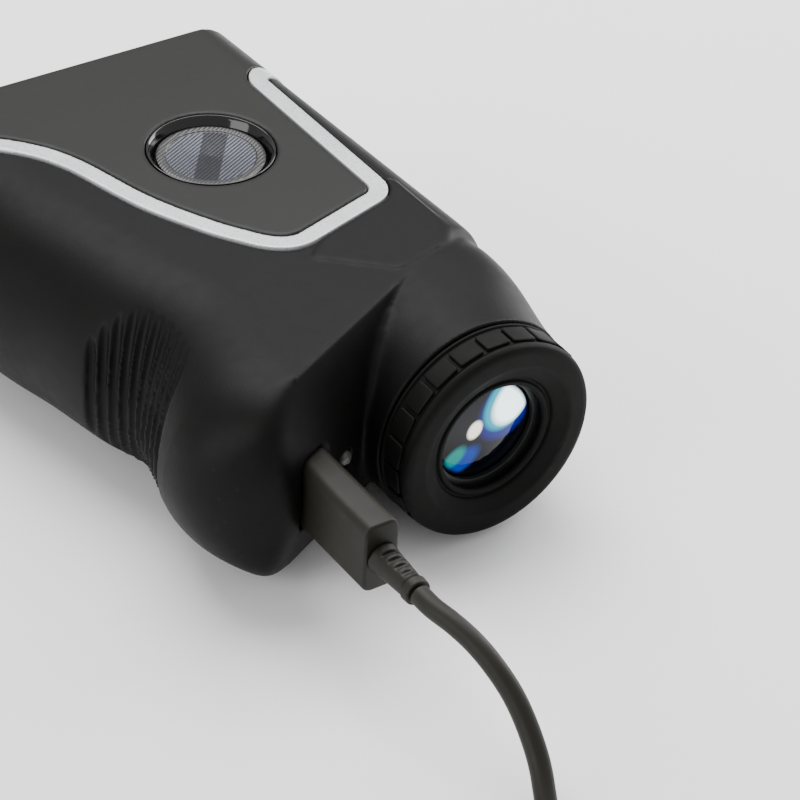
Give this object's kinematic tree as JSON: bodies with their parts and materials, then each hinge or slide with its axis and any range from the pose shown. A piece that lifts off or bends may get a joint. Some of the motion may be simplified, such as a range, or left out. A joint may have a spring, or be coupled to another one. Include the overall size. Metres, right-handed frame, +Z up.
{
  "type": "laser rangefinder",
  "caption": "Hand-held laser rangefinder lying on its side with its charging lead plugged in: turning diopter ring, travelling fire and mode buttons, lens and laser optics inside.",
  "frame": {"origin": "centre of the device's box on the surface that its right side rests on, with the charging lead left out", "axes": "+Y forward along the optical axis from eyecup to front lenses, +X towards the device's top with the fire button, +Z up, out of the device's left side"},
  "size_m": [0.1092, 0.2017, 0.0362],
  "materials": {
    "housing": "satin charcoal soft-touch plastic, fine texture",
    "cover": "satin warm dark grey plastic",
    "trim": "silver painted trim, satin",
    "bezel": "black plastic, satin",
    "gloss_ring": "gloss black",
    "button_metal": "cross-hatched satin metal",
    "rubber": "matte black rubber",
    "barrel": "black anodised",
    "glass": "coated optical glass",
    "display": "dark display glass",
    "nylon": "black glass-filled nylon",
    "board": "green circuit board",
    "steel": "nickel-plated steel",
    "light_pipe": "frosted light pipe",
    "cell_wrap": "shrink-wrapped lithium cell",
    "lead": "warm dark grey moulded elastomer"
  },
  "bodies": {
    "body": {"main_housing": "housing", "front_cover": "cover", "left_trim": "trim", "right_trim": "trim", "front_bezel": "bezel", "bezel_gasket": "rubber", "bezel_screw_1": "steel", "bezel_screw_2": "steel", "bezel_screw_3": "steel", "bezel_screw_4": "steel", "bezel_screw_5": "steel", "mode_ring": "gloss_ring", "mode_switch": "steel", "mode_switch_board": "board", "fire_switch": "steel", "fire_switch_board": "board", "eyepiece_tube": "barrel", "field_lens": "glass", "display_panel": "display", "prism_block": "glass", "prism_carrier": "nylon", "laser_diode": "steel", "objective_barrel": "barrel", "objective_lens": "glass", "objective_ring": "barrel", "receiver_barrel": "barrel", "receiver_lens": "glass", "receiver_ring": "barrel", "receiver_sensor": "board", "bulkhead": "nylon", "main_board": "board", "battery_cell": "cell_wrap", "battery_cradle": "nylon", "usb_socket": "steel", "port_gasket": "rubber", "usb_board": "board", "charge_led": "light_pipe", "vibration_motor": "steel", "usb_plug": "lead", "usb_plug_shell": "steel", "strain_relief": "lead", "usb_cable": "lead", "cable_coil": "lead", "cable_tie": "rubber", "far_plug": "lead", "far_plug_shell": "steel", "cable_tail": "lead"},
    "diopter": {"diopter_ring": "rubber", "eyecup": "rubber"},
    "ocular": {"ocular_cell": "barrel", "eye_lens": "glass"},
    "fire": {"fire_button": "cover"},
    "mode": {"mode_button": "button_metal"}
  },
  "joints": [
    {"name": "diopter_turn", "type": "hinge", "parent": "body", "child": "diopter", "pos_m": [0.01881, -0.048, 0.0181], "axis": [0, 1, 0], "range_deg": [-60, 60]},
    {"name": "ocular_focus", "type": "slide", "parent": "body", "child": "ocular", "axis": [0, 1, 0], "range_m": [-0.00075, 0.00075]},
    {"name": "fire_press", "type": "slide", "parent": "body", "child": "fire", "axis": [-0.9993, -0.038, 0], "range_m": [0, 0.0008], "stiffness_N_per_m": 200, "springref_m": -0.003},
    {"name": "mode_press", "type": "slide", "parent": "body", "child": "mode", "axis": [0, 0, -1], "range_m": [0, 0.0005], "stiffness_N_per_m": 150, "springref_m": -0.003}
  ],
  "couplings": [
    {"joint": "ocular_focus", "follows": "diopter_turn", "m_per_rad": 0.0007}
  ]
}
